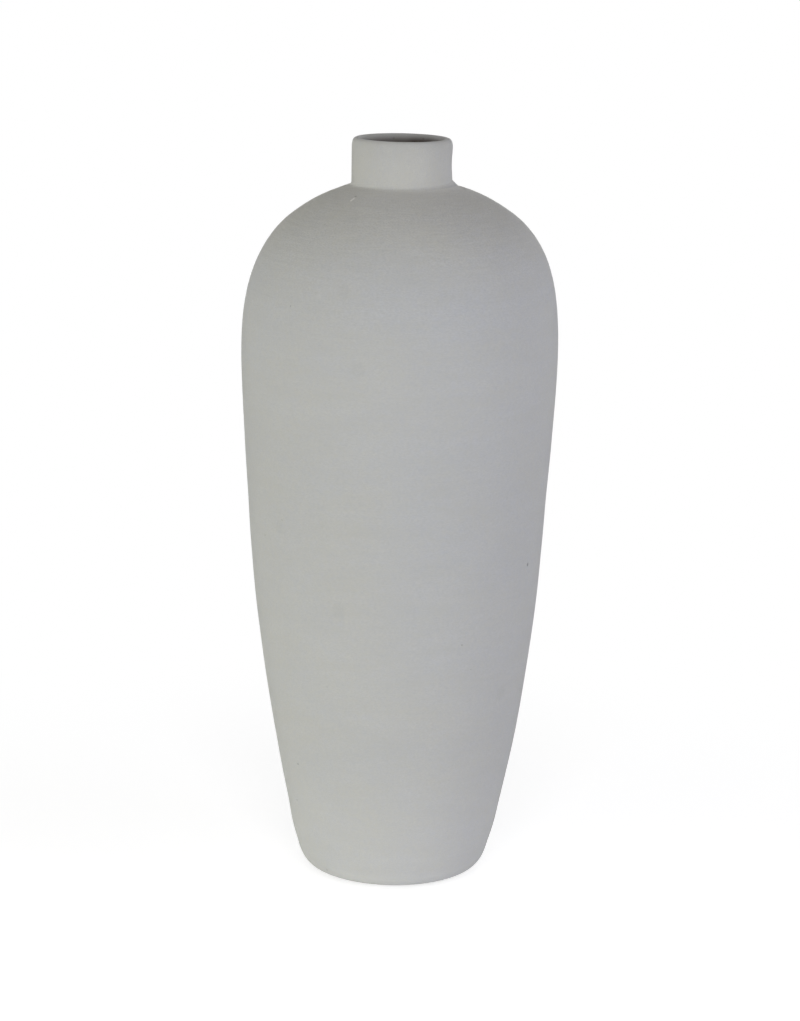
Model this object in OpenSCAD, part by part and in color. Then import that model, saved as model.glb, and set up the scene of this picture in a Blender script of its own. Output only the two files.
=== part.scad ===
// Tall ceramic bottle vase: four turned clay sections luted with slip, and a glaze lining inside.
// Millimetres. The vase stands on Z = 0 and turns about the Z axis.
// Every section is one closed profile of [radius, height] points, revolved about Z.

/* [Foot] */
// Radius of the foot ring's outer edge, where the heel starts to round up
foot_r = 41.5; // [36:0.5:48]
// Width of the flat ring that the vase stands on
foot_ring_w = 8; // [5:0.5:12]
// Depth of the recess inside the foot ring
foot_recess = 2; // [1:0.5:4]
// Radius of the rounded heel between the foot and the wall
heel_r = 24; // [20:0.5:30]
// Lean of the wall, out from upright, where the heel ends
heel_lean = 14; // [10:0.5:20]

/* [Body wall] */
// Height of the belly joint, where the wall meets the shoulder
belly_z = 300; // [260:1:340]
// Outer radius at the belly joint
belly_r = 102.9; // [90:0.1:115]
// Lean of the wall, out from upright, at the belly joint
belly_lean = 3.3; // [0:0.1:6]
// How far the wall holds its lean above the heel
wall_hold_low = 100; // [70:1:120]
// How far the wall holds its lean below the belly joint
wall_hold_high = 100; // [70:1:120]

/* [Shoulder] */
// Height of the land that the neck stands on
neck_joint_z = 469; // [450:0.5:500]
// Rise of the shoulder, from level, where it meets the neck
shoulder_rise = 15; // [10:0.5:25]
// How far the shoulder holds the wall's lean above the belly joint
shoulder_hold_low = 80; // [65:1:105]
// How far the shoulder holds its rise outside the neck
shoulder_hold_high = 85; // [65:1:100]

/* [Neck] */
// Radius of the bore through the neck
bore_r = 26.4; // [22:0.1:30]
// Thickness of the neck's wall
neck_wall = 7; // [6:0.5:9]
// Height of the collar, from its joint to the top of the lip
neck_h = 30.2; // [20:0.1:60]

/* [Clay] */
// Thickness of the wall and the shoulder
wall_t = 7; // [6:0.5:9]
// Thickness of the floor inside the foot ring
floor_t = 7; // [6:0.5:9]
// Thickness of the glaze lining
lining_t = 0.5; // [0.3:0.1:1]

/* [Joints] */
// Thickness of the slip layer in each joint
slip_t = 0.8; // [0.5:0.1:1.5]
// How far the slip is wiped back from the inner face, under the lining
slip_back = 0.3; // [0.2:0.1:1]
// Width of the key, a tongue under one section in a groove of the next
key_w = 3; // [2:0.5:4]
// Height of the key
key_h = 2; // [1:0.5:3]
// Height that the slip is smoothed up the foot of the neck
bead_h = 2.5; // [1:0.5:4]

/* [Hidden] */

clay = [0.71, 0.71, 0.69];
dried_slip = [0.66, 0.66, 0.63];
glaze = [0.78, 0.78, 0.75];

turn_steps = 180;
heel_steps = 14;
wall_steps = 24;
shoulder_steps = 32;
lip_steps = 16;
bead_steps = 8;

// Heel: a quarter round that stops where the wall's lean begins
heel_centre = [foot_r, heel_r];
heel_out = outward(heel_lean);
heel_up = leaning(heel_lean);
heel_top = heel_centre + heel_r * heel_out;
floor_z = foot_recess + floor_t;

// Wall: one curve from the heel joint to the belly joint
belly_up = leaning(belly_lean);
belly_out = outward(belly_lean);
wall_foot = heel_top + slip_t * heel_up;
wall_top = [belly_r, belly_z];
wall_curve = [
    wall_foot,
    wall_foot + wall_hold_low * heel_up,
    wall_top - wall_hold_high * belly_up,
    wall_top
];

// Shoulder: one curve from the belly joint, over the widest point, to the neck
neck_r = bore_r + neck_wall;
shoulder_foot = wall_top + slip_t * belly_up;
shoulder_top = [neck_r, neck_joint_z];
shoulder_way = [-cos(shoulder_rise), sin(shoulder_rise)];
shoulder_curve = [
    shoulder_foot,
    shoulder_foot + shoulder_hold_low * belly_up,
    shoulder_top - shoulder_hold_high * shoulder_way,
    shoulder_top
];
shoulder_face = curve(shoulder_curve, shoulder_steps, 0);

// Neck: a straight collar on a level land, with a fully rounded lip
up = [0, 1];
collar_z = neck_joint_z + slip_t;
lip_r = neck_wall / 2;
lip_centre = [bore_r + lip_r, collar_z + neck_h - lip_r];

// The three joint lines, each from the outer face to the inner face
base_joint = joint_line(heel_top, heel_top - wall_t * heel_out, heel_up);
belly_joint = joint_line(wall_top, wall_top - wall_t * belly_out, belly_up);
neck_joint = joint_line(shoulder_top, [bore_r, neck_joint_z], up);

// Direction that leans out from upright by an angle, and the outward normal of a wall that leans so
function leaning(angle) = [sin(angle), cos(angle)];
function outward(angle) = [cos(angle), -sin(angle)];
function unit(v) = v / norm(v);

function arc(centre, r, from, to, steps) = [
    for (i = [0:steps])
        let (a = from + (to - from) * i / steps)
        centre + r * [cos(a), sin(a)]
];

// Point and direction on a four-point curve, at t from 0 to 1
function curve_point(c, t) =
    pow(1 - t, 3) * c[0] + 3 * pow(1 - t, 2) * t * c[1] + 3 * (1 - t) * t * t * c[2] + pow(t, 3) * c[3];
function curve_way(c, t) =
    unit(pow(1 - t, 2) * (c[1] - c[0]) + 2 * (1 - t) * t * (c[2] - c[1]) + t * t * (c[3] - c[2]));

// The curve's points, moved square to it into the clay by depth
function curve(c, steps, depth) = [
    for (i = [0:steps])
        let (way = curve_way(c, i / steps))
        curve_point(c, i / steps) - depth * [way[1], -way[0]]
];

// A joint's line across the wall, dipping into a key at its middle
function joint_line(outer, inner, rise) =
    let (middle = (outer + inner) / 2, half_key = unit(inner - outer) * key_w / 2)
    [outer, middle - half_key, middle - key_h * rise, middle + half_key, inner];

function moved(points, by) = [for (p = points) p + by];
function reversed(points) = [for (i = [len(points) - 1:-1:0]) points[i]];
// A joint line without its two ends, which the faces beside it already hold
function key_of(line) = [line[1], line[2], line[3]];

// Inner face at a depth under the outer face: the heel's round, which runs level into the floor
function heel_inside(depth) =
    let (
        top = heel_top - depth * heel_out,
        level = floor_z + depth - wall_t,
        r = (top[1] - level) / (1 - sin(heel_lean))
    )
    arc(top - r * heel_out, r, -90, -heel_lean, heel_steps);

// Inner face at a depth, where the shoulder runs out into the bore
function bore_edge(depth) =
    let (end = shoulder_top - depth * [sin(shoulder_rise), cos(shoulder_rise)])
    [bore_r, end[1] + (end[0] - bore_r) * tan(shoulder_rise)];

// Whole inner face at a depth, from the middle of the floor to the bore
function inside(depth) = concat(
    [[0, floor_z + depth - wall_t]],
    heel_inside(depth),
    curve(wall_curve, wall_steps, depth),
    curve(shoulder_curve, shoulder_steps, depth),
    [bore_edge(depth)]
);

// A joint line that stops short of the inner face
function wiped(line, back) = concat([line[0]], key_of(line), [line[4] - back * unit(line[4] - line[0])]);

// Band of slip between a joint line and the same line raised by the slip's thickness
function slip_band(line, rise) = concat(line, reversed(moved(line, slip_t * rise)));

// Hollow fillet of slip from the collar's wall down onto the shoulder's last stretch
function neck_bead() =
    let (
        last = shoulder_face[shoulder_steps],
        before = shoulder_face[shoulder_steps - 1],
        fall = atan2(last[1] - before[1], before[0] - last[0]),
        leg = slip_t + bead_h,
        r = leg * tan(45 + fall / 2)
    )
    arc(shoulder_top + [r, leg], r, 180, 270 - fall, bead_steps);

module turned(profile) {
    rotate_extrude($fn = turn_steps)
        polygon(profile);
}

module base() {
    color(clay)
        turned(concat(
            [[0, foot_recess], [foot_r - foot_ring_w, foot_recess], [foot_r - foot_ring_w, 0]],
            arc(heel_centre, heel_r, -90, -heel_lean, heel_steps),
            key_of(base_joint),
            reversed(heel_inside(wall_t)),
            [[0, floor_z]]
        ));
}

module body_wall() {
    color(clay)
        turned(concat(
            curve(wall_curve, wall_steps, 0),
            key_of(belly_joint),
            reversed(curve(wall_curve, wall_steps, wall_t)),
            reversed(moved(key_of(base_joint), slip_t * heel_up))
        ));
}

module shoulder() {
    color(clay)
        turned(concat(
            shoulder_face,
            key_of(neck_joint),
            [[bore_r, neck_joint_z], bore_edge(wall_t)],
            reversed(curve(shoulder_curve, shoulder_steps, wall_t)),
            reversed(moved(key_of(belly_joint), slip_t * belly_up))
        ));
}

module neck_collar() {
    color(clay)
        turned(concat(
            [[neck_r, collar_z]],
            arc(lip_centre, lip_r, 0, 180, lip_steps),
            [[bore_r, collar_z]],
            reversed(moved(key_of(neck_joint), slip_t * up))
        ));
}

module base_slip() {
    color(dried_slip)
        turned(slip_band(wiped(base_joint, slip_back), heel_up));
}

module belly_slip() {
    color(dried_slip)
        turned(slip_band(wiped(belly_joint, slip_back), belly_up));
}

module neck_slip() {
    color(dried_slip)
        turned(concat(slip_band(neck_joint, up), neck_bead()));
}

module glaze_lining() {
    color(glaze)
        turned(concat(inside(wall_t), reversed(inside(wall_t + lining_t))));
}

base();
body_wall();
shoulder();
neck_collar();
base_slip();
belly_slip();
neck_slip();
glaze_lining();
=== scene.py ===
"""Tall matte ceramic bottle vase: turned clay sections, slip in their joints, and glaze inside."""

import bpy
import numpy as np
from mathutils import Matrix, Vector


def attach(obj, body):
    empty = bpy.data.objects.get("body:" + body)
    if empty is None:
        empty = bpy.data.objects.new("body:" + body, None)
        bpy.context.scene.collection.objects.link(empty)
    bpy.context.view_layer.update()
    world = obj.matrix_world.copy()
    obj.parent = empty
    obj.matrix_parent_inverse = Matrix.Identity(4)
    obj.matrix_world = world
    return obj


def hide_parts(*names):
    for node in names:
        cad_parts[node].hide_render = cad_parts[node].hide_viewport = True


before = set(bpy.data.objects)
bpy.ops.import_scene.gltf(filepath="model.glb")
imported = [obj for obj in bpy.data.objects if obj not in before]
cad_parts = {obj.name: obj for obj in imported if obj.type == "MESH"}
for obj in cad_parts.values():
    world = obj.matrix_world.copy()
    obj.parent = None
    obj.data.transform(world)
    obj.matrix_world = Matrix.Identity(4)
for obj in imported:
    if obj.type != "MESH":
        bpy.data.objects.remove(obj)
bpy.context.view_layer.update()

MM = 0.001
TAU = 2 * np.pi

# Driving sizes of the vase, as in the part's source: lengths in metres, leans from upright in degrees
FOOT_R = 41.5 * MM
FOOT_RING_W = 8 * MM
FOOT_RECESS = 2 * MM
HEEL_R = 24 * MM
HEEL_LEAN = 14
BELLY_Z = 300 * MM
BELLY_R = 102.9 * MM
BELLY_LEAN = 3.3
WALL_HOLD_LOW = 100 * MM
WALL_HOLD_HIGH = 100 * MM
NECK_JOINT_Z = 469 * MM
SHOULDER_RISE = 15
SHOULDER_HOLD_LOW = 80 * MM
SHOULDER_HOLD_HIGH = 85 * MM
BORE_R = 26.4 * MM
NECK_WALL = 7 * MM
NECK_H = 30.2 * MM
WALL_T = 7 * MM
FLOOR_T = 7 * MM
LINING_T = 0.5 * MM
SLIP_T = 0.8 * MM
SLIP_BACK = 0.3 * MM
KEY_W = 3 * MM
KEY_H = 2 * MM
NECK_R = BORE_R + NECK_WALL

# Unevenness of the hand-made outer face: bells of a height and a spread that push it towards +X,
# or swell it all round
WANDER_Z = np.array([14, 32, 99, 240, 432]) * MM
WANDER_SPREAD = np.array([10, 9, 20, 45, 25]) * MM
WANDER_PUSH = np.array([-0.45, -0.25, 0.3, -0.5, 1.2]) * MM
SWELL_Z = np.array([6, 17, 34, 190, 262, 454]) * MM
SWELL_SPREAD = np.array([5, 5, 8, 20, 15, 5]) * MM
SWELL_OUT = np.array([0.6, -0.25, 0.55, 0.3, -0.3, -0.4]) * MM

# Stretches over which the unevenness fades out: above the foot, and below the bead, less on its high side
FOOT_FADE = 6 * MM
NECK_CLEAR = 0.5 * MM
NECK_FADE = 10 * MM
NECK_FADE_LESS = 7.5 * MM

# Collar: how far its waist goes in on one side, and how its lip is softened, lifted and tilted.
# Place and spread of the softening are shares of the lip's radius
WAIST = 0.6 * MM
LIP_SOFT = 0.35 * MM
LIP_SOFT_AT = 0.35
LIP_SOFT_SPREAD = 0.4
LIP_LIFT = 0.15 * MM
LIP_TILT = 0.2 * MM

# Lines that the turning left on the shoulder: their spacings, their height, where they fade out,
# how often their phase sways in one turn, and how their strength drifts round the vase
LINE_SPACING = np.geomspace(4, 12, 8) * MM
LINE_H = 0.007 * MM
LINES_FROM_Z = 350 * MM
LINES_FULL_Z = 410 * MM
LINE_SEED = 7
LINE_SWAYS = (2, 6)
LINE_STRENGTH = 0.6
LINE_DRIFT = 0.4

# Bead of slip round the foot of the neck: how far it runs up and out, and how much further on its high and
# its wide side; and where its face turns up, as a share of its way in, sooner on the high side
BEAD_UP = 0.7 * MM
BEAD_UP_MORE = 1.9 * MM
BEAD_HIGH_SIDE = np.radians(95)
BEAD_HIGH_SPREAD = np.radians(35)
BEAD_OUT = 2.5 * MM
BEAD_OUT_MORE = 5.2 * MM
BEAD_WIDE_SIDE = np.radians(45)
BEAD_WIDE_SPREAD = np.radians(60)
BEAD_TURN = 0.75
BEAD_TURN_LESS = 0.5
BEAD_SLOPE_STEP = 0.2 * MM

# Grid: columns round the axis, rows along each outer face
COLUMNS = 256
WALL_ROWS = 240
SHOULDER_ROWS = 300
HEEL_ROWS = 60
COLLAR_ROWS = 48
LIP_ROWS = 40
BEAD_ROWS = 14
INSIDE_ROWS = 40
BORE_ROWS = 7
SHARP_CORNER = np.radians(40)
ANGLES = np.linspace(-np.pi, np.pi, COLUMNS, endpoint=False)

# Fine samples from which lengths and places are read
CURVE_SAMPLES = 2000
OUTER_HEEL_SAMPLES = 200
OUTER_CURVE_SAMPLES = 1000
OUTER_LIP_SAMPLES = 100
BEAD_SAMPLES = 4000
SIGHT_SAMPLES = 20001
NO_LENGTH = 1e-9

# Camera of the photograph: place in metres, angles in degrees, focal length and picture in pixels.
# The vase lies within the reach, in metres along the camera's axis
CAMERA_AT = Vector((0.0, -2.3, 0.7254))
CAMERA_PITCH = 11.70
CAMERA_ROLL = 0.764
PICTURE = (800, 1021)
FOCAL_PX = 3487.0
AXIS_X_PX = 397.5
SENSOR_MM = 36.0
CAMERA_TURN = np.arctan2(PICTURE[0] / 2 - AXIS_X_PX, FOCAL_PX)
CAMERA_AIM = (
    Matrix.Rotation(-CAMERA_TURN, 3, "Z")
    @ Matrix.Rotation(np.radians(90 - CAMERA_PITCH), 3, "X")
    @ Matrix.Rotation(np.radians(CAMERA_ROLL), 3, "Z")
)
SIGHT_REACH = (2.1, 2.6)

# Marks in the clay: the picture's pixel where each one shows, and its radius in metres.
# A mark is full within its core, a share of its radius
SPOT_CORE = 0.4
PINHOLES = [
    ((527.6, 564.5), 1.7 * MM),
    ((462.0, 645.0), 0.55 * MM),
    ((298.0, 764.0), 0.9 * MM),
    ((297.0, 800.0), 0.78 * MM),
    ((282.0, 520.0), 0.56 * MM),
    ((265.0, 535.0), 0.56 * MM),
    ((290.5, 306.0), 0.43 * MM),
    ((471.0, 669.5), 0.4 * MM),
    ((327.0, 687.0), 0.4 * MM),
    ((355.8, 196.3), 1.1 * MM),
    ((327.0, 870.0), 0.85 * MM),
]
SMUDGES = [
    ((279.5, 527.5), 6 * MM),
    ((339.0, 611.5), 6.5 * MM),
    ((501.0, 693.0), 6.5 * MM),
    ((344.0, 291.0), 6 * MM),
    ((357.5, 370.5), 6.5 * MM),
    ((352.0, 218.0), 6.5 * MM),
]
SCRAPE = [
    ((351.2, 200.6), 1.2 * MM),
    ((352.7, 199.4), 1.3 * MM),
    ((354.2, 198.2), 1.1 * MM),
]
# Dark stains seen in the mouth; the last, broad one is painted shade on the bore's far wall
MOUTH_STAINS_AND_SHADE = [
    ((394.0, 138.0), 1.2 * MM),
    ((423.0, 138.5), 1.2 * MM),
    ((422.0, 141.0), 12 * MM),
]

# Painted light bounced from the floor: how far up from the foot, and again along the foot's edge. Paler
# clay up from the neck joint, between which radii round the neck's foot; and painted light on the shoulder
# round the neck, between which radii, more towards +X
FOOT_LIGHT_REACH = 110 * MM
EDGE_LIGHT_REACH = 16 * MM
NECK_PALING_RISE = 45 * MM
NECK_PALING_R = (NECK_R + 2.5 * MM, NECK_R + 0.5 * MM)
SHOULDER_LIGHT_R = (NECK_R + 26 * MM, NECK_R + 4 * MM)
SHOULDER_LIGHT_MORE_PER_M = 15

# Height from which the clay is warmer, up to the neck
WARM_FROM_Z = 400 * MM

# Painted highlight round the belly: the heights between which it comes and goes
BELLY_LIGHT_FOOT = (270 * MM, 350 * MM)
BELLY_LIGHT_TOP = (450 * MM, 415 * MM)

# Cooler, slightly darker band on one side: its direction from the axis, its reach round, and its heights
COOL_BAND_SIDE = np.radians(24)
COOL_BAND_REACH = np.radians(42)
COOL_BAND_FOOT = (90 * MM, 220 * MM)
COOL_BAND_TOP = (450 * MM, 380 * MM)

# Steps of the clay's texture: round the vase in one radian, and along its face in one metre
STREAK_STEPS = (5, 650)
GRAIN_STEPS = (60, 1350)
TINT_STEPS = (28, 360)
MOTTLE_STEPS = (2.5, 110)
PATCH_STEPS = (2.5, 35)
SPECKLES_PER_M = 350

# Colours, linear
WARM_CLAY = (0.482, 0.475, 0.447, 1)
COOL_CLAY = (0.458, 0.461, 0.472, 1)
# Brown of the painted shade down the bore
PAINTED_MOUTH_SHADE = (0.06, 0.045, 0.035, 1)
GLAZE_COLOUR = np.array([0.44, 0.44, 0.42])
FLOOR_COLOUR = (0.92, 0.92, 0.92, 1)
SHADE_COLOUR = (0.5, 0.5, 0.5, 1)

# How strong streaks and grain are: all over, more up the shoulder, on the neck, and more again under it
STREAK_ALL = 0.35
STREAK_UPPER = 0.25
STREAK_TOP = 1.1
STREAK_ROUGHNESS = 0.6
GRAIN_UPPER = 0.35
GRAIN_NECK = 0.3
GRAIN_TOP = 0.7
GRAIN_PATCHY = 1.5

# What each texture and mark, the paler neck foot, and the painted light and shade add to the clay's
# brightness or take from it, as a share
GRAIN_SHARE = 0.175
SPECKLE_SHARE = 0.04
MOTTLE_SHARE = 0.075
STREAK_SHARE = 0.13
SCRAPE_SHARE = 0.4
PINHOLE_SHARE = 0.4
SMUDGE_SHARE = 0.034
PAINTED_FOOT_LIGHT_SHARE = 0.13
PAINTED_EDGE_LIGHT_SHARE = 0.18
NECK_PALING_SHARE = 0.16
PAINTED_SHOULDER_LIGHT_SHARE = 0.06
PAINTED_BELLY_HIGHLIGHT_SHARE = 0.02
PAINTED_NECK_SHADE_SHARE = 0.035
COOL_BAND_SHARE = 0.006

# How cool the clay is, from 0 for warm to 1 for cool, and what changes it
COOL_MEAN = 0.56
COOL_TINT = 1.2
COOL_MOTTLE = 0.4
COOL_PATCH = 0.7
COOL_UPPER = 0.13
COOL_BAND_COOLNESS = 0.19
WARM_NECK = 0.17
WARM_TOP = 0.48
WARM_NECK_PALING = 0.15

# Mouth: painted shade down the bore: heights where it starts and is full, in lip radii from the lip's
# centre; its depth, more towards +X; and how much its stains and a broad painted shade on the far wall add
MOUTH_FROM = 1.05
MOUTH_FULL = -0.5
MOUTH_DARK = 0.8
MOUTH_DARKER_PER_M = 3.8
MOUTH_STAIN_AND_SHADE = 0.12

# Clay's face: height of its bump, what makes it up, and its gloss
BUMP_H = 0.1 * MM
BUMP_GRAIN = 0.8
BUMP_STREAK = 0.8
BUMP_PINHOLE = 3
BUMP_SCRAPE = 0.6
CLAY_ROUGHNESS = 0.86
CLAY_ROUGHNESS_MOTTLE = 0.1
CLAY_SPECULAR = 0.25
CLAY_SCATTER = 0.6
SLIP_LINES = 0.5

# Glaze: patches in one metre, its darkest and palest share of its colour, and its gloss
GLAZE_PATCHES_PER_M = 40
GLAZE_DARK = 0.85
GLAZE_PALE = 1.15
GLAZE_CONTRAST = 0.6
GLAZE_ROUGHNESS = 0.38
GLAZE_ROUGHNESS_MOTTLE = 0.2
GLAZE_SPECULAR = 0.5

# Floor: half its side, its own white near the vase, and where that runs over into plain white
FLOOR_HALF = 30
PAPER_WHITE = 0.76
SHADE_REACH = (0.2, 0.6)


def leaning(degrees):
    """Direction that leans out from upright: (sine, cosine) of the lean."""
    return np.array([np.sin(np.radians(degrees)), np.cos(np.radians(degrees))])


def outward(degrees):
    """Outward normal of a wall that leans out so: (cosine, minus sine) of the lean."""
    return np.array([np.cos(np.radians(degrees)), -np.sin(np.radians(degrees))])


def smooth(x):
    """Ease from 0 to 1 while x goes from 0 to 1: three x squared less two x cubed."""
    x = np.clip(x, 0, 1)
    return x * x * (3 - 2 * x)


def bell(distance, spread):
    """Bell curve: e to the minus half of (distance over spread) squared."""
    return np.exp(-0.5 * (distance / spread) ** 2)


def arc(centre, radius, start, stop, count):
    """Round stretch of profile: centre plus radius times (cosine, sine), from start to stop degrees."""
    a = np.radians(np.linspace(start, stop, count))
    return centre + radius * np.column_stack([np.cos(a), np.sin(a)])


def lengths(points):
    """Length along a line of points, from its first point to each one."""
    return np.concatenate([[0], np.cumsum(np.linalg.norm(np.diff(points, axis=0), axis=1))])


def curve(handles, count, depth=0.0):
    """Cubic curve on four handles, at even steps of its length, moved square into the clay by depth."""
    p = np.array(handles)

    def at(t):
        t = t[:, None]
        u = 1 - t
        return u**3 * p[0] + 3 * u * u * t * p[1] + 3 * u * t * t * p[2] + t**3 * p[3]

    fine = np.linspace(0, 1, CURVE_SAMPLES)
    length = lengths(at(fine))
    even = np.interp(np.linspace(0, length[-1], count), length, fine)
    t = even[:, None]
    u = 1 - t
    way = u * u * (p[1] - p[0]) + 2 * u * t * (p[2] - p[1]) + t * t * (p[3] - p[2])
    way /= np.linalg.norm(way, axis=1)[:, None]
    return at(even) - depth * np.column_stack([way[:, 1], -way[:, 0]])


UP = np.array([0.0, 1.0])
HEEL_UP, HEEL_OUT = leaning(HEEL_LEAN), outward(HEEL_LEAN)
BELLY_UP, BELLY_OUT = leaning(BELLY_LEAN), outward(BELLY_LEAN)
HEEL_CENTRE = np.array([FOOT_R, HEEL_R])
HEEL_TOP = HEEL_CENTRE + HEEL_R * HEEL_OUT
FLOOR_Z = FOOT_RECESS + FLOOR_T
WALL_FOOT = HEEL_TOP + SLIP_T * HEEL_UP
WALL_TOP = np.array([BELLY_R, BELLY_Z])
WALL_HANDLES = [
    WALL_FOOT,
    WALL_FOOT + WALL_HOLD_LOW * HEEL_UP,
    WALL_TOP - WALL_HOLD_HIGH * BELLY_UP,
    WALL_TOP,
]
SHOULDER_FOOT = WALL_TOP + SLIP_T * BELLY_UP
SHOULDER_TOP = np.array([NECK_R, NECK_JOINT_Z])
SHOULDER_WAY = np.array([-np.cos(np.radians(SHOULDER_RISE)), np.sin(np.radians(SHOULDER_RISE))])
SHOULDER_HANDLES = [
    SHOULDER_FOOT,
    SHOULDER_FOOT + SHOULDER_HOLD_LOW * BELLY_UP,
    SHOULDER_TOP - SHOULDER_HOLD_HIGH * SHOULDER_WAY,
    SHOULDER_TOP,
]
COLLAR_Z = NECK_JOINT_Z + SLIP_T
LIP_R = NECK_WALL / 2
LIP_CENTRE = np.array([BORE_R + LIP_R, COLLAR_Z + NECK_H - LIP_R])


def joint_line(outer, inner, rise):
    """Line across the wall from its outer to its inner face, dipping into the key at its middle."""
    middle = (outer + inner) / 2
    half_key = (inner - outer) / np.linalg.norm(inner - outer) * KEY_W / 2
    return np.array([outer, middle - half_key, middle - KEY_H * rise, middle + half_key, inner])


BASE_JOINT = joint_line(HEEL_TOP, HEEL_TOP - WALL_T * HEEL_OUT, HEEL_UP)
BELLY_JOINT = joint_line(WALL_TOP, WALL_TOP - WALL_T * BELLY_OUT, BELLY_UP)
NECK_JOINT = joint_line(SHOULDER_TOP, np.array([BORE_R, NECK_JOINT_Z]), UP)


def heel_inside(depth):
    """Round between floor and wall inside: level with the floor below, leaning as the wall above."""
    top = HEEL_TOP - depth * HEEL_OUT
    radius = (top[1] - (FLOOR_Z + depth - WALL_T)) / (1 - np.sin(np.radians(HEEL_LEAN)))
    return arc(top - radius * HEEL_OUT, radius, -90, -HEEL_LEAN, INSIDE_ROWS)


def bore_edge(depth):
    """Point where the inside of the shoulder, at a depth under its outer face, runs out into the bore."""
    rise = np.radians(SHOULDER_RISE)
    end = SHOULDER_TOP - depth * np.array([np.sin(rise), np.cos(rise)])
    return np.array([BORE_R, end[1] + (end[0] - BORE_R) * np.tan(rise)])


# Outer face from the foot to the lip, the length along it, and its steepness: 1 where upright, 0 if level
OUTER = np.concatenate([
    arc(HEEL_CENTRE, HEEL_R, -90, -HEEL_LEAN, OUTER_HEEL_SAMPLES),
    curve(WALL_HANDLES, OUTER_CURVE_SAMPLES),
    curve(SHOULDER_HANDLES, OUTER_CURVE_SAMPLES),
    arc(LIP_CENTRE, LIP_R, 0, 90, OUTER_LIP_SAMPLES),
])
OUTER_LENGTH = lengths(OUTER)
OUTER_STEEP = np.gradient(OUTER[:, 1], OUTER_LENGTH)


def along(height):
    """Length along the outer face from the foot up to a height."""
    return np.interp(height, OUTER[:, 1], OUTER_LENGTH)


def sight_line(pixel):
    """Fine points on the camera's ray through a pixel: the camera's place plus reach times the ray's way.

    The way is one long along the camera's axis."""
    way = CAMERA_AIM @ Vector((
        (pixel[0] - PICTURE[0] / 2) / FOCAL_PX,
        (PICTURE[1] / 2 - pixel[1]) / FOCAL_PX,
        -1,
    ))
    reach = np.linspace(*SIGHT_REACH, SIGHT_SAMPLES)[:, None]
    return np.array(CAMERA_AT) + reach * np.array(way)


def seen_at(pixel):
    """Point of the uneven outer face that shows at a pixel: the first on the camera's ray in its relief.

    A point is outside the true round by its level distance from it times the face's steepness."""
    points = sight_line(pixel)
    x, y, height = points.T
    beyond = np.hypot(x, y) - np.interp(height, OUTER[:, 1], OUTER[:, 0])
    out = beyond * np.interp(height, OUTER[:, 1], OUTER_STEEP)
    return points[np.argmax(out < relief(np.arctan2(x, -y), height))]


def seen_in_mouth(pixel):
    """Point of the bore's far wall that shows at a pixel: where the camera's ray leaves the bore."""
    points = sight_line(pixel)
    return points[np.nonzero(np.hypot(points[:, 0], points[:, 1]) < BORE_R)[0][-1]]


def round_from(theta, side):
    """Angle round the vase from a side, from minus half a turn to half a turn."""
    return (theta - side + np.pi) % TAU - np.pi


def bead_reach(theta):
    """How far the bead runs out along the shoulder: a bell of the angle round from its wide side."""
    return BEAD_OUT + BEAD_OUT_MORE * bell(round_from(theta, BEAD_WIDE_SIDE), BEAD_WIDE_SPREAD)


def bead_high(theta):
    """How much the bead is on its high side: a bell of the angle round from it, 1 at most."""
    return bell(round_from(theta, BEAD_HIGH_SIDE), BEAD_HIGH_SPREAD)


def turning_lines(theta, height):
    """Lines left by the turning: short waves along the face, drifting in phase and strength round it."""
    rng = np.random.default_rng(LINE_SEED)
    phase, drift, swell = rng.uniform(0, TAU, (3, len(LINE_SPACING)))
    sways = rng.integers(*LINE_SWAYS, len(LINE_SPACING))
    round_it = np.broadcast_to(theta, np.broadcast(theta, height).shape)[..., None]
    sway = np.sin(sways * round_it + drift)
    waves = np.sin(TAU * along(height)[..., None] / LINE_SPACING + phase + sway)
    strength = LINE_STRENGTH + LINE_DRIFT * np.sin((sways + 1) * round_it + swell)
    scale = np.sqrt(LINE_SPACING / LINE_SPACING[0])
    fade = smooth((height - LINES_FROM_Z) / (LINES_FULL_Z - LINES_FROM_Z))
    return LINE_H * fade * (scale * strength * waves).sum(-1)


def relief(theta, height):
    """Departure of the outer face from its true round, square to it.

    Bells of height times the sine of the angle push the face sideways, other bells swell or ease it all
    round, short waves give the turning lines, and all fade out at the foot and at the bead. The collar has
    a waist on one side, and its lip is softened, lifted and tilted a little."""
    push = bell(height[..., None] - WANDER_Z, WANDER_SPREAD) @ WANDER_PUSH
    swell = bell(height[..., None] - SWELL_Z, SWELL_SPREAD) @ SWELL_OUT
    below_bead = along(NECK_JOINT_Z) - bead_reach(theta) - NECK_CLEAR - along(height)
    fade = NECK_FADE - NECK_FADE_LESS * bead_high(theta)
    free = smooth(height / FOOT_FADE) * smooth(below_bead / fade)
    up_collar = np.clip((height - COLLAR_Z) / (LIP_CENTRE[1] - COLLAR_Z), 0, 1)
    waist = WAIST * np.sin(np.pi * up_collar) ** 2 * (1 + np.sin(theta)) / 2
    soft_lip = LIP_SOFT * bell(height - LIP_CENTRE[1] - LIP_SOFT_AT * LIP_R, LIP_SOFT_SPREAD * LIP_R)
    lift = (LIP_LIFT - LIP_TILT * np.sin(theta)) * smooth((height - LIP_CENTRE[1]) / LIP_R)
    return free * (push * np.sin(theta) + swell + turning_lines(theta, height)) - waist - soft_lip + lift


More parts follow.
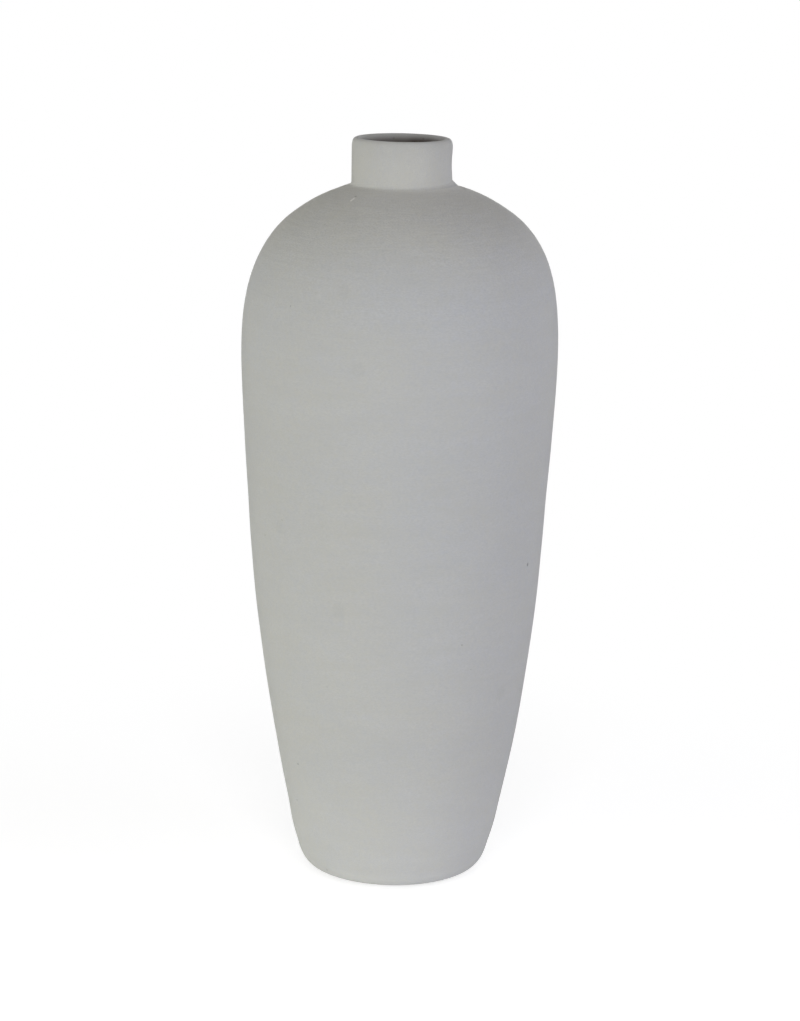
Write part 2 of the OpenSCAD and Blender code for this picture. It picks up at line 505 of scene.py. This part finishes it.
class Profile:
    """Line of (radius, height) points, gathered in stretches, each on the outer face or not."""

    def __init__(self):
        self.points = []
        self.outer = []

    def add(self, points, outer=False):
        points = np.atleast_2d(points)
        self.points.append(points)
        self.outer.append(np.full(len(points), outer))
        return self

    def sections(self):
        """The profile at every column, its outer points moved along its normal by the relief."""
        points, outer = np.concatenate(self.points), np.concatenate(self.outer)
        start = np.where(np.roll(outer, 1)[:, None], np.roll(points, 1, axis=0), points)
        stop = np.where(np.roll(outer, -1)[:, None], np.roll(points, -1, axis=0), points)
        way = (stop - start) / np.maximum(np.linalg.norm(stop - start, axis=1), NO_LENGTH)[:, None]
        normal = np.column_stack([way[:, 1], -way[:, 0]])
        rise = relief(ANGLES[:, None], points[None, :, 1]) * outer
        return points + rise[..., None] * normal


def turned(name, sections, closed=True):
    """Surface round the axis from a section per column: a point is (r sin a, minus r cos a, z).

    A section that isn't closed starts and ends on the axis, where each end becomes one point of a fan."""
    if not closed:
        poles = [(0, 0, sections[0, 0, 1]), (0, 0, sections[0, -1, 1])]
        sections = sections[:, 1:-1]
    count = sections.shape[1]
    radius, height = sections[..., 0], sections[..., 1]
    angle = ANGLES[:, None]
    points = np.stack([radius * np.sin(angle), -radius * np.cos(angle), height], axis=-1).reshape(-1, 3)
    column = np.arange(COLUMNS)[:, None]
    across = (column + 1) % COLUMNS
    row = np.arange(count if closed else count - 1)[None, :]
    above = (row + 1) % count
    quads = np.stack([
        column * count + row,
        across * count + row,
        across * count + above,
        column * count + above,
    ], axis=-1).reshape(-1, 4)
    faces = quads.tolist()
    if not closed:
        here, beside = column[:, 0] * count, across[:, 0] * count
        first, last = np.full(COLUMNS, len(points)), np.full(COLUMNS, len(points) + 1)
        points = np.concatenate([points, poles])
        faces += np.column_stack([beside, here, first]).tolist()
        faces += np.column_stack([here + count - 1, beside + count - 1, last]).tolist()
    return put_mesh(name, points, faces)


def put_mesh(name, points, faces):
    """Smooth mesh object at the origin with crisp corners; each point holds its length along the face."""
    mesh = bpy.data.meshes.new(name)
    mesh.from_pydata(points.tolist(), [], faces)
    mesh.attributes.new("along", "FLOAT", "POINT").data.foreach_set("value", along(points[:, 2]))
    mesh.shade_smooth()
    mesh.set_sharp_from_angle(angle=SHARP_CORNER)
    piece = bpy.data.objects.new(name, mesh)
    bpy.context.scene.collection.objects.link(piece)
    return piece


def base_sections():
    """Foot recess, foot ring, heel, groove of the base joint, round inside and floor."""
    ring = FOOT_R - FOOT_RING_W
    p = Profile()
    p.add([[0, FOOT_RECESS], [ring, FOOT_RECESS], [ring, 0]])
    p.add(arc(HEEL_CENTRE, HEEL_R, -90, -HEEL_LEAN, HEEL_ROWS), outer=True)
    p.add(BASE_JOINT[1:-1])
    p.add(heel_inside(WALL_T)[::-1])
    p.add([0, FLOOR_Z])
    return p.sections()


def wall_sections():
    """Outer face of the body wall, groove of the belly joint, inner face and tongue of the base joint."""
    p = Profile()
    p.add(curve(WALL_HANDLES, WALL_ROWS), outer=True)
    p.add(BELLY_JOINT[1:-1])
    p.add(curve(WALL_HANDLES, INSIDE_ROWS, WALL_T)[::-1])
    p.add((BASE_JOINT + SLIP_T * HEEL_UP)[-2:0:-1])
    return p.sections()


def shoulder_sections():
    """Outer face of the shoulder, groove of the neck joint, bore's edge, inner face and belly tongue."""
    p = Profile()
    p.add(curve(SHOULDER_HANDLES, SHOULDER_ROWS), outer=True)
    p.add(NECK_JOINT[1:])
    p.add(bore_edge(WALL_T))
    p.add(curve(SHOULDER_HANDLES, INSIDE_ROWS, WALL_T)[::-1])
    p.add((BELLY_JOINT + SLIP_T * BELLY_UP)[-2:0:-1])
    return p.sections()


def collar_sections():
    """Outside of the collar, rounded lip, bore and tongue of the neck joint."""
    p = Profile()
    height = np.linspace(COLLAR_Z, LIP_CENTRE[1], COLLAR_ROWS)[:-1]
    p.add(np.column_stack([np.full(len(height), NECK_R), height]), outer=True)
    p.add(arc(LIP_CENTRE, LIP_R, 0, 180, LIP_ROWS), outer=True)
    down = np.linspace(LIP_CENTRE[1], COLLAR_Z, BORE_ROWS)[1:]
    p.add(np.column_stack([np.full(len(down), BORE_R), down]))
    p.add((NECK_JOINT + SLIP_T * UP)[-2:0:-1])
    return p.sections()


def slip_sections(joint, rise):
    """Band of slip on a joint line: its outer face, the line raised by its thickness, the line back."""
    wiped = joint[-1] + SLIP_BACK * (joint[0] - joint[-1]) / np.linalg.norm(joint[0] - joint[-1])
    line = np.concatenate([joint[:-1], [wiped]])
    raised = line + SLIP_T * rise
    p = Profile()
    p.add([line[0], raised[0]], outer=True)
    p.add(raised[1:])
    p.add(line[:0:-1])
    return p.sections()


def neck_slip_sections():
    """Slip of the neck joint: out under the bead on the shoulder, up the bead, and across the joint.

    The bead's face is a quadratic curve that leaves the shoulder along its slope, and turns up to the
    collar's wall in its last stretch."""
    out = bead_reach(ANGLES)[:, None]
    face = curve(SHOULDER_HANDLES, BEAD_SAMPLES)[::-1]
    length = lengths(face)

    def down_shoulder(distance):
        return np.stack([np.interp(distance, length, face[:, i]) for i in range(2)], axis=-1)

    under = down_shoulder(out * np.linspace(0, 1, BEAD_ROWS))
    edge = under[:, -1]
    slope = down_shoulder(out[:, 0] - BEAD_SLOPE_STEP) - edge
    corner = edge + slope * ((NECK_R - edge[:, 0]) / slope[:, 0])[:, None]
    high = bead_high(ANGLES)
    top = np.column_stack([np.full(COLUMNS, NECK_R), COLLAR_Z + BEAD_UP + BEAD_UP_MORE * high])
    handle = edge + (BEAD_TURN - BEAD_TURN_LESS * high)[:, None] * (corner - edge)
    t = np.linspace(0, 1, BEAD_ROWS)[1:, None]
    edge, handle, top = edge[:, None], handle[:, None], top[:, None]
    bead = (1 - t) ** 2 * edge + 2 * t * (1 - t) * handle + t * t * top
    across = np.concatenate([NECK_JOINT + SLIP_T * UP, NECK_JOINT[:0:-1]])
    return np.concatenate([under, bead, np.broadcast_to(across, (COLUMNS, *across.shape))], axis=1)


def lining_sections():
    """Skin of glaze: the clay's inner face from floor to bore, and back its own thickness further in."""
    p = Profile()
    for depth, way in ((WALL_T, 1), (WALL_T + LINING_T, -1)):
        face = np.concatenate([
            [[0, FLOOR_Z + depth - WALL_T]],
            heel_inside(depth),
            curve(WALL_HANDLES, INSIDE_ROWS, depth),
            curve(SHOULDER_HANDLES, INSIDE_ROWS, depth),
            [bore_edge(depth)],
        ])
        p.add(face[::way])
    return p.sections()


class Wire:
    """A socket of a material's node tree. Arithmetic between wires and numbers adds Math nodes."""

    def __init__(self, tree, socket=None):
        self.tree = tree
        self.socket = socket

    def node(self, kind, settings, sockets, output=0):
        """Adds a node, sets its settings, then its sockets' values or links, and gives one output."""
        made = self.tree.nodes.new(kind)
        for name, value in settings.items():
            setattr(made, name, value)
        for key, value in sockets.items():
            if isinstance(value, Wire):
                self.tree.links.new(value.socket, made.inputs[key])
            else:
                made.inputs[key].default_value = value
        return Wire(self.tree, made.outputs[output] if made.outputs else None)

    def math(self, operation, first, second):
        return self.node("ShaderNodeMath", {"operation": operation}, {0: first, 1: second})

    def __add__(self, other):
        return self.math("ADD", self, other)

    def __radd__(self, other):
        return self.math("ADD", other, self)

    def __sub__(self, other):
        return self.math("SUBTRACT", self, other)

    def __rsub__(self, other):
        return self.math("SUBTRACT", other, self)

    def __mul__(self, other):
        return self.math("MULTIPLY", self, other)

    def __rmul__(self, other):
        return self.math("MULTIPLY", other, self)


def new_material(name):
    """Material with an empty node tree, and a wire to start from."""
    material = bpy.data.materials.new(name)
    material.use_nodes = True
    material.node_tree.nodes.clear()
    return material, Wire(material.node_tree)


def noise(wire, vector, scale, detail, roughness=0.5):
    """Soft noise about 0, from about -0.5 to 0.5."""
    return wire.node("ShaderNodeTexNoise", {}, {
        "Vector": vector,
        "Scale": scale,
        "Detail": detail,
        "Roughness": roughness,
    }) - 0.5


def ramp(wire, value, start, stop):
    """Soft step of a value: 0 at start, 1 at stop."""
    return wire.node("ShaderNodeMapRange", {"interpolation_type": "SMOOTHSTEP"}, {
        "Value": value,
        "From Min": float(start),
        "From Max": float(stop),
    })


def spots(wire, place, marks, find=seen_at):
    """Sum of round soft spots of given (pixel, radius): 1 within the core, 0 outside the radius."""
    masks = []
    for pixel, radius in marks:
        away = wire.node("ShaderNodeVectorMath", {"operation": "DISTANCE"}, {
            0: place,
            1: find(pixel),
        }, "Value")
        masks.append(ramp(wire, away, radius, SPOT_CORE * radius))
    total, *others = masks
    for mask in others:
        total = total + mask
    return total


def clay_material(name, lines):
    """Matte fired clay: grain, mottling, tint, streaks, a paler neck foot, marks, painted light and shade,
    and a mouth darkened by painted shade.

    Grain, streaks, mottling and tint are noise stretched round the axis: its place is the direction from
    the axis, some steps round, and the length along the face, many steps per metre. The colour lies between
    warm and cool clay, and is scaled by a share: 1, and what texture, marks, the paler neck foot, and
    painted light and shade add or take. Down the bore it turns to a brown painted shade, darker towards +X."""
    material, wire = new_material(name)
    place = wire.node("ShaderNodeTexCoord", {}, {}, "Object")
    length = wire.node("ShaderNodeAttribute", {"attribute_name": "along"}, {}, "Fac")
    height = wire.node("ShaderNodeSeparateXYZ", {}, {0: place}, "Z")
    sideways = wire.node("ShaderNodeSeparateXYZ", {}, {0: place}, "X")
    flat = wire.node("ShaderNodeVectorMath", {"operation": "MULTIPLY"}, {0: place, 1: (1, 1, 0)}, "Vector")
    radius = wire.node("ShaderNodeVectorMath", {"operation": "LENGTH"}, {0: flat}, "Value")
    facing = wire.node("ShaderNodeVectorMath", {"operation": "NORMALIZE"}, {0: flat}, "Vector")

    def stretched(steps, detail, roughness=0.5):
        raised = wire.node("ShaderNodeCombineXYZ", {}, {"Z": length * steps[1]})
        around = wire.node("ShaderNodeVectorMath", {"operation": "MULTIPLY_ADD"}, {
            0: facing,
            1: (steps[0], steps[0], 0),
            2: raised,
        }, "Vector")
        return noise(wire, around, 1.0, detail, roughness)

    below_collar = ramp(wire, height, COLLAR_Z, NECK_JOINT_Z)
    upper = ramp(wire, height, LINES_FROM_Z, LINES_FULL_Z) * below_collar
    warmth = ramp(wire, height, WARM_FROM_Z, COLLAR_Z)

    streak = STREAK_ALL + STREAK_UPPER * upper + STREAK_TOP * warmth * below_collar
    line = stretched(STREAK_STEPS, 3, STREAK_ROUGHNESS) * streak * lines
    mottle = stretched(MOTTLE_STEPS, 4)
    rough = 1.0 + GRAIN_UPPER * upper + (GRAIN_NECK + GRAIN_TOP * below_collar) * warmth
    grain = stretched(GRAIN_STEPS, 2) * rough * (1.0 + GRAIN_PATCHY * mottle)
    tint = stretched(TINT_STEPS, 2)
    patch = stretched(PATCH_STEPS, 2)
    speckle = noise(wire, place, SPECKLES_PER_M, 2)
    texture = GRAIN_SHARE * grain + SPECKLE_SHARE * speckle + MOTTLE_SHARE * mottle + STREAK_SHARE * line

    pits = spots(wire, place, PINHOLES)
    smudge = spots(wire, place, SMUDGES)
    scrape = spots(wire, place, SCRAPE)
    marks = SCRAPE_SHARE * scrape - PINHOLE_SHARE * pits - SMUDGE_SHARE * smudge

    # Painted light bounced from the floor: paler towards the foot, and again along the foot's edge
    foot = PAINTED_FOOT_LIGHT_SHARE * ramp(wire, height, FOOT_LIGHT_REACH, 0)
    edge = PAINTED_EDGE_LIGHT_SHARE * ramp(wire, height, EDGE_LIGHT_REACH, 0)
    on_collar = ramp(wire, height, NECK_JOINT_Z, COLLAR_Z) * ramp(wire, radius, *NECK_PALING_R)
    neck_paling = on_collar * ramp(wire, height, COLLAR_Z + NECK_PALING_RISE, COLLAR_Z)
    towards_side = 1.0 + SHOULDER_LIGHT_MORE_PER_M * sideways
    # Painted light on the shoulder round the neck, stronger towards +X
    painted_shoulder_light = below_collar * ramp(wire, radius, *SHOULDER_LIGHT_R) * towards_side
    # Sum of the painted light at the foot, its edge and the shoulder, and the paler neck foot
    wiped = foot + edge + NECK_PALING_SHARE * neck_paling + PAINTED_SHOULDER_LIGHT_SHARE * painted_shoulder_light

    towards = (float(np.sin(COOL_BAND_SIDE)), float(-np.cos(COOL_BAND_SIDE)), 0)
    beside = wire.node("ShaderNodeVectorMath", {"operation": "DOT_PRODUCT"}, {
        0: facing,
        1: towards,
    }, "Value")
    cool_band_height = ramp(wire, height, *COOL_BAND_FOOT) * ramp(wire, height, *COOL_BAND_TOP)
    cool_band = ramp(wire, beside, np.cos(COOL_BAND_REACH), 1) * cool_band_height
    # Painted highlight round the belly
    painted_belly_highlight = ramp(wire, height, *BELLY_LIGHT_FOOT) * ramp(wire, height, *BELLY_LIGHT_TOP)
    # Painted shade on the neck's +X side
    painted_neck_shade = ramp(wire, sideways, 0, NECK_R) * (1.0 - below_collar)
    sides = PAINTED_BELLY_HIGHLIGHT_SHARE * painted_belly_highlight - PAINTED_NECK_SHADE_SHARE * painted_neck_shade - COOL_BAND_SHARE * cool_band

    share = 1.0 + texture + marks + wiped + sides
    warmer = (WARM_NECK + WARM_TOP * below_collar) * warmth + WARM_NECK_PALING * neck_paling
    cooler = COOL_TINT * tint + COOL_MOTTLE * mottle + COOL_PATCH * patch + COOL_UPPER * upper
    clay = wire.node("ShaderNodeMix", {"data_type": "RGBA", "clamp_factor": False}, {
        0: COOL_MEAN + cooler + COOL_BAND_COOLNESS * cool_band - warmer,
        6: WARM_CLAY,
        7: COOL_CLAY,
    }, 2)
    colour = wire.node("ShaderNodeVectorMath", {"operation": "SCALE"}, {0: clay, "Scale": share}, "Vector")

    # Painted shade down the bore, darker towards +X, with stains and a broad painted shade on the far wall
    bore = ramp(wire, radius, BORE_R + LIP_R, BORE_R) * ramp(wire, height, BELLY_Z, NECK_JOINT_Z)
    mouth_from, mouth_full = (LIP_CENTRE[1] + radii * LIP_R for radii in (MOUTH_FROM, MOUTH_FULL))
    depth = bore * ramp(wire, height, mouth_from, mouth_full)
    stains_and_shade = bore * spots(wire, place, MOUTH_STAINS_AND_SHADE, seen_in_mouth)
    shaded = wire.node("ShaderNodeMix", {"data_type": "RGBA"}, {
        0: depth * (MOUTH_DARK + MOUTH_DARKER_PER_M * sideways) + MOUTH_STAIN_AND_SHADE * stains_and_shade,
        6: colour,
        7: PAINTED_MOUTH_SHADE,
    }, 2)

    bump = wire.node("ShaderNodeBump", {}, {
        "Strength": 1.0,
        "Distance": BUMP_H,
        "Height": BUMP_GRAIN * grain + BUMP_STREAK * line - BUMP_PINHOLE * pits + BUMP_SCRAPE * scrape,
    })
    shader = wire.node("ShaderNodeBsdfPrincipled", {}, {
        "Base Color": shaded,
        "Roughness": CLAY_ROUGHNESS + CLAY_ROUGHNESS_MOTTLE * mottle,
        "Specular IOR Level": CLAY_SPECULAR,
        "Diffuse Roughness": CLAY_SCATTER,
        "Normal": bump,
    })
    wire.node("ShaderNodeOutputMaterial", {}, {"Surface": shader})
    return material


def glaze_material():
    """Satin glaze of the lining: soft mottling in colour and roughness."""
    material, wire = new_material("satin_glaze")
    place = wire.node("ShaderNodeTexCoord", {}, {}, "Object")
    mottle = noise(wire, place, GLAZE_PATCHES_PER_M, 3)
    colour = wire.node("ShaderNodeMix", {"data_type": "RGBA"}, {
        0: 0.5 + GLAZE_CONTRAST * mottle,
        6: (*(GLAZE_DARK * GLAZE_COLOUR), 1),
        7: (*(GLAZE_PALE * GLAZE_COLOUR), 1),
    }, 2)
    shader = wire.node("ShaderNodeBsdfPrincipled", {}, {
        "Base Color": colour,
        "Roughness": GLAZE_ROUGHNESS + GLAZE_ROUGHNESS_MOTTLE * mottle,
        "Specular IOR Level": GLAZE_SPECULAR,
    })
    wire.node("ShaderNodeOutputMaterial", {}, {"Surface": shader})
    return material


CLAY = clay_material("matte_clay", 1.0)
SLIP = clay_material("smoothed_slip", SLIP_LINES)
GLAZE = glaze_material()
PIECES = [
    (turned("base_piece", base_sections(), closed=False), "base", "clay", CLAY),
    (turned("body_wall_piece", wall_sections()), "body_wall", "clay", CLAY),
    (turned("shoulder_piece", shoulder_sections()), "shoulder", "clay", CLAY),
    (turned("neck_collar_piece", collar_sections()), "neck_collar", "clay", CLAY),
    (turned("base_slip_piece", slip_sections(BASE_JOINT, HEEL_UP)), "base_slip", "slip", SLIP),
    (turned("belly_slip_piece", slip_sections(BELLY_JOINT, BELLY_UP)), "belly_slip", "slip", SLIP),
    (turned("neck_slip_piece", neck_slip_sections()), "neck_slip", "slip", SLIP),
    (turned("glaze_lining_piece", lining_sections(), closed=False), "glaze_lining", "glaze", GLAZE),
]
for piece, node, slot, material in PIECES:
    piece.data.materials.append(material)
    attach(piece, "root")
    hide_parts(node)


def camera():
    """Camera at the photograph's place: turned to set the vase's axis, aimed down, then rolled."""
    lens = bpy.data.cameras.new("camera")
    lens.sensor_width = SENSOR_MM
    lens.lens = FOCAL_PX / max(PICTURE) * SENSOR_MM
    lens.dof.use_dof = False
    eye = bpy.data.objects.new("camera", lens)
    bpy.context.scene.collection.objects.link(eye)
    eye.matrix_world = Matrix.Translation(CAMERA_AT) @ CAMERA_AIM.to_4x4()
    bpy.context.scene.camera = eye


# Light: world from the horizon to overhead, and soft lamps: place, aim, (width, height), colour, watts
HORIZON_LIGHT = (0.35, 0.35, 0.35)
OVERHEAD_LIGHT = (0.0, 0.0, 0.0)
LAMPS = [
    ("front_high", (0.0, -1.9, 1.3), (0, 0, 0.4), (0.8, 0.6), (1.0, 0.99, 1.0), 14.9),
    ("front", (0.0, -1.6, 0.2), (0, 0, 0.2), (0.9, 0.3), (0.92, 0.95, 1.0), 3.4),
    ("left", (-1.1, -1.2, 0.25), (0, 0, 0.2), (0.9, 0.4), (0.96, 1.0, 0.81), 4.75),
    ("right", (1.1, -1.2, 0.25), (0, 0, 0.2), (0.9, 0.4), (0.76, 0.81, 1.0), 2.2),
    ("right_high", (1.2, -0.5, 1.1), (0, 0, 0.4), (0.6, 0.6), (0.84, 0.85, 1.0), 1.95),
    ("back", (0.0, 1.8, 0.4), (0, 0, 0.25), (0.9, 0.6), (1.0, 1.0, 1.0), 8.0),
    ("back_left", (-1.3, 1.3, 0.38), (0, 0, 0.2), (0.9, 0.6), (1.0, 1.0, 1.0), 5.5),
    ("back_right", (1.3, 1.3, 0.38), (0, 0, 0.2), (0.9, 0.6), (1.0, 1.0, 1.0), 6.5),
    ("low_left", (-0.35, -0.25, 0.03), (0, 0, 0.03), (0.5, 0.04), (0.98, 1.0, 0.88), 0.25),
    ("low_front", (0.0, -0.4, 0.03), (0, 0, 0.03), (0.5, 0.04), (1.0, 0.97, 0.9), 0.065),
    ("low_right", (0.35, -0.25, 0.03), (0, 0, 0.03), (0.5, 0.04), (0.9, 0.9, 1.0), 0.09),
]


def lamps():
    """Soft oblong lamps, not shown themselves."""
    for name, place, aim, (width, height), colour, watts in LAMPS:
        light = bpy.data.lights.new(name, "AREA")
        light.shape = "RECTANGLE"
        light.size = width
        light.size_y = height
        light.color = colour
        light.energy = watts
        lamp = bpy.data.objects.new(name, light)
        lamp.location = place
        lamp.rotation_euler = (Vector(aim) - Vector(place)).to_track_quat("-Z", "Y").to_euler()
        lamp.visible_camera = False
        bpy.context.scene.collection.objects.link(lamp)


def floor():
    """Pale floor: white paper to the camera, with the vase's soft shadow; a pale grey to bounced light.

    Near the vase the paper is a share of its own white and a share of the light that falls on it."""
    mesh = bpy.data.meshes.new("floor")
    corners = [(-1, -1), (1, -1), (1, 1), (-1, 1)]
    mesh.from_pydata([(FLOOR_HALF * x, FLOOR_HALF * y, 0) for x, y in corners], [], [(0, 1, 2, 3)])
    ground = bpy.data.objects.new("floor", mesh)
    bpy.context.scene.collection.objects.link(ground)
    material, wire = new_material("white_floor")
    place = wire.node("ShaderNodeTexCoord", {}, {}, "Object")
    away = wire.node("ShaderNodeVectorMath", {"operation": "LENGTH"}, {0: place}, "Value")
    bounce = wire.node("ShaderNodeBsdfDiffuse", {}, {"Color": FLOOR_COLOUR})
    shade = wire.node("ShaderNodeBsdfDiffuse", {}, {"Color": SHADE_COLOUR})
    white = wire.node("ShaderNodeEmission", {}, {"Strength": PAPER_WHITE})
    near = wire.node("ShaderNodeAddShader", {}, {0: shade, 1: white})
    far = wire.node("ShaderNodeEmission", {}, {"Strength": 1.0})
    paper = wire.node("ShaderNodeMixShader", {}, {0: ramp(wire, away, *SHADE_REACH), 1: near, 2: far})
    shader = wire.node("ShaderNodeMixShader", {}, {0: straight_sight(wire), 1: bounce, 2: paper})
    wire.node("ShaderNodeOutputMaterial", {}, {"Surface": shader})
    mesh.materials.append(material)


def straight_sight(wire):
    """1 for rays from the camera, and for what glossy and clear surfaces show; 0 for bounced light."""
    seen = wire.node("ShaderNodeLightPath", {}, {}, "Is Camera Ray")
    mirrored = wire.node("ShaderNodeLightPath", {}, {}, "Is Glossy Ray")
    through = wire.node("ShaderNodeLightPath", {}, {}, "Is Transmission Ray")
    return wire.math("MAXIMUM", wire.math("MAXIMUM", seen, mirrored), through)


def studio():
    """World: white to the camera, and soft light that fades from the horizon to overhead on the vase."""
    world = bpy.data.worlds.new("studio")
    bpy.context.scene.world = world
    world.use_nodes = True
    world.node_tree.nodes.clear()
    wire = Wire(world.node_tree)
    up = wire.node("ShaderNodeTexCoord", {}, {}, "Generated")
    rise = wire.node("ShaderNodeSeparateXYZ", {}, {0: up}, "Z")
    sky = wire.node("ShaderNodeMix", {"data_type": "RGBA"}, {
        0: wire.math("MAXIMUM", rise, 0.0),
        6: (*HORIZON_LIGHT, 1),
        7: (*OVERHEAD_LIGHT, 1),
    }, 2)
    seen = wire.node("ShaderNodeMix", {"data_type": "RGBA"}, {
        0: straight_sight(wire),
        6: sky,
        7: (1, 1, 1, 1),
    }, 2)
    light = wire.node("ShaderNodeBackground", {}, {"Color": seen, "Strength": 1.0})
    wire.node("ShaderNodeOutputWorld", {}, {"Surface": light})


camera()
lamps()
floor()
studio()
bpy.context.scene.view_settings.view_transform = "Standard"
